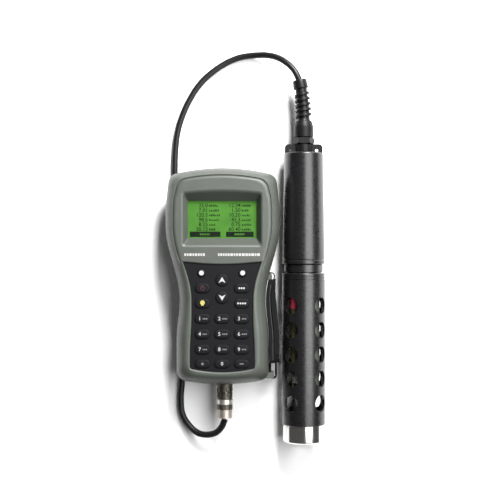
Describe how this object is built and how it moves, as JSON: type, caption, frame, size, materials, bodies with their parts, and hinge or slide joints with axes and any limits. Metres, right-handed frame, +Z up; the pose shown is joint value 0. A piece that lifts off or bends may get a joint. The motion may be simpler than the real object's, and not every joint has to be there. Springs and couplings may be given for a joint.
{
  "type": "water quality probe",
  "caption": "Portable water quality set: handheld meter with display and keypad, joined by a lead to a submersible sensor probe with a perforated shield and steel end weight.",
  "frame": {"origin": "on the surface the set lies on, under the middle of the box round the meter and the probe", "axes": "+X to the right from the meter to the probe, +Y towards the display end and the lead's exit from the probe, +Z up out of the meter's face"},
  "size_m": [0.1618, 0.4, 0.055],
  "materials": {
    "housing": "fine moulded texture, grey with a green tint",
    "seal_rubber": "matt black",
    "window": "clear, polished",
    "display": "lit green panel",
    "keypad_rubber": "charcoal, satin",
    "key_rubber": "charcoal, satin, printed marks",
    "spring_steel": "bright",
    "screw_steel": "dull",
    "board": "green solder mask",
    "cell_jacket": "printed jacket",
    "nickel": "satin nickel plate",
    "contact_gold": "gold plate",
    "insulator": "black",
    "webbing": "black woven webbing",
    "lead_jacket": "semi-gloss black",
    "relief_rubber": "satin black",
    "probe_plastic": "satin black",
    "acidity_sensor": "translucent red",
    "oxygen_sensor": "olive grey",
    "conductivity_sensor": "dark grey",
    "weight_steel": "turned and polished"
  },
  "bodies": {
    "set": {"front_shell": "housing", "rear_shell": "housing", "case_seal": "seal_rubber", "display_window": "window", "window_seal": "seal_rubber", "lcd_module": "display", "keypad_mat": "keypad_rubber", "key_switches": "spring_steel", "main_board": "board", "battery_cells": "cell_jacket", "battery_contacts": "spring_steel", "case_screws": "screw_steel", "feet": "seal_rubber", "socket_shell": "nickel", "socket_pins": "contact_gold", "strap_pins": "spring_steel", "hand_strap": "webbing", "strap_cord": "webbing", "plug_body": "nickel", "plug_insert": "insulator", "cable": "lead_jacket", "gland_body": "probe_plastic", "gland_nut": "probe_plastic", "gland_seal": "seal_rubber", "strain_relief": "relief_rubber", "probe_cap": "probe_plastic", "probe_tube": "probe_plastic", "probe_board": "board", "sensor_block": "probe_plastic", "neck_seals": "seal_rubber", "ph_sensor": "acidity_sensor", "oxygen_sensor": "oxygen_sensor", "conductivity_sensor": "conductivity_sensor", "temperature_pin": "weight_steel"},
    "plug_collar": {"plug_collar": "nickel"},
    "shield": {"shield": "probe_plastic", "end_weight": "weight_steel"},
    "battery_cover": {"battery_cover": "housing", "cover_screws": "screw_steel"},
    "key_soft_left": {"key_soft_left": "key_rubber"},
    "key_soft_right": {"key_soft_right": "key_rubber"},
    "key_up": {"key_up": "key_rubber"},
    "key_down": {"key_down": "key_rubber"},
    "key_power": {"key_power": "key_rubber"},
    "key_lamp": {"key_lamp": "key_rubber"},
    "key_escape": {"key_escape": "key_rubber"},
    "key_help": {"key_help": "key_rubber"},
    "key_1": {"key_1": "key_rubber"},
    "key_2": {"key_2": "key_rubber"},
    "key_3": {"key_3": "key_rubber"},
    "key_4": {"key_4": "key_rubber"},
    "key_5": {"key_5": "key_rubber"},
    "key_6": {"key_6": "key_rubber"},
    "key_7": {"key_7": "key_rubber"},
    "key_8": {"key_8": "key_rubber"},
    "key_9": {"key_9": "key_rubber"},
    "key_point": {"key_point": "key_rubber"},
    "key_0": {"key_0": "key_rubber"},
    "key_minus": {"key_minus": "key_rubber"}
  },
  "joints": [
    {"name": "key_soft_left_press", "type": "slide", "parent": "set", "child": "key_soft_left", "axis": [0, 0, -1], "range_m": [0, 0.0008], "stiffness_N_per_m": 2500, "springref_m": -0.0004},
    {"name": "key_soft_right_press", "type": "slide", "parent": "set", "child": "key_soft_right", "axis": [0, 0, -1], "range_m": [0, 0.0008], "stiffness_N_per_m": 2500, "springref_m": -0.0004},
    {"name": "key_up_press", "type": "slide", "parent": "set", "child": "key_up", "axis": [0, 0, -1], "range_m": [0, 0.0008], "stiffness_N_per_m": 2500, "springref_m": -0.0004},
    {"name": "key_down_press", "type": "slide", "parent": "set", "child": "key_down", "axis": [0, 0, -1], "range_m": [0, 0.0008], "stiffness_N_per_m": 2500, "springref_m": -0.0004},
    {"name": "key_power_press", "type": "slide", "parent": "set", "child": "key_power", "axis": [0, 0, -1], "range_m": [0, 0.0008], "stiffness_N_per_m": 2500, "springref_m": -0.0004},
    {"name": "key_lamp_press", "type": "slide", "parent": "set", "child": "key_lamp", "axis": [0, 0, -1], "range_m": [0, 0.0008], "stiffness_N_per_m": 2500, "springref_m": -0.0004},
    {"name": "key_escape_press", "type": "slide", "parent": "set", "child": "key_escape", "axis": [0, 0, -1], "range_m": [0, 0.0008], "stiffness_N_per_m": 2500, "springref_m": -0.0004},
    {"name": "key_help_press", "type": "slide", "parent": "set", "child": "key_help", "axis": [0, 0, -1], "range_m": [0, 0.0008], "stiffness_N_per_m": 2500, "springref_m": -0.0004},
    {"name": "key_1_press", "type": "slide", "parent": "set", "child": "key_1", "axis": [0, 0, -1], "range_m": [0, 0.0008], "stiffness_N_per_m": 2500, "springref_m": -0.0004},
    {"name": "key_2_press", "type": "slide", "parent": "set", "child": "key_2", "axis": [0, 0, -1], "range_m": [0, 0.0008], "stiffness_N_per_m": 2500, "springref_m": -0.0004},
    {"name": "key_3_press", "type": "slide", "parent": "set", "child": "key_3", "axis": [0, 0, -1], "range_m": [0, 0.0008], "stiffness_N_per_m": 2500, "springref_m": -0.0004},
    {"name": "key_4_press", "type": "slide", "parent": "set", "child": "key_4", "axis": [0, 0, -1], "range_m": [0, 0.0008], "stiffness_N_per_m": 2500, "springref_m": -0.0004},
    {"name": "key_5_press", "type": "slide", "parent": "set", "child": "key_5", "axis": [0, 0, -1], "range_m": [0, 0.0008], "stiffness_N_per_m": 2500, "springref_m": -0.0004},
    {"name": "key_6_press", "type": "slide", "parent": "set", "child": "key_6", "axis": [0, 0, -1], "range_m": [0, 0.0008], "stiffness_N_per_m": 2500, "springref_m": -0.0004},
    {"name": "key_7_press", "type": "slide", "parent": "set", "child": "key_7", "axis": [0, 0, -1], "range_m": [0, 0.0008], "stiffness_N_per_m": 2500, "springref_m": -0.0004},
    {"name": "key_8_press", "type": "slide", "parent": "set", "child": "key_8", "axis": [0, 0, -1], "range_m": [0, 0.0008], "stiffness_N_per_m": 2500, "springref_m": -0.0004},
    {"name": "key_9_press", "type": "slide", "parent": "set", "child": "key_9", "axis": [0, 0, -1], "range_m": [0, 0.0008], "stiffness_N_per_m": 2500, "springref_m": -0.0004},
    {"name": "key_point_press", "type": "slide", "parent": "set", "child": "key_point", "axis": [0, 0, -1], "range_m": [0, 0.0008], "stiffness_N_per_m": 2500, "springref_m": -0.0004},
    {"name": "key_0_press", "type": "slide", "parent": "set", "child": "key_0", "axis": [0, 0, -1], "range_m": [0, 0.0008], "stiffness_N_per_m": 2500, "springref_m": -0.0004},
    {"name": "key_minus_press", "type": "slide", "parent": "set", "child": "key_minus", "axis": [0, 0, -1], "range_m": [0, 0.0008], "stiffness_N_per_m": 2500, "springref_m": -0.0004},
    {"name": "collar_turn", "type": "hinge", "parent": "set", "child": "plug_collar", "pos_m": [-0.0214, -0.1425, 0.023], "axis": [0, 1, 0], "range_deg": [0, 60]},
    {"name": "shield_draw", "type": "slide", "parent": "set", "child": "shield", "axis": [0, -1, 0], "range_m": [0, 0.13]},
    {"name": "battery_cover_lift", "type": "slide", "parent": "set", "child": "battery_cover", "axis": [0, 0, -1], "range_m": [0, 0.03]}
  ]
}
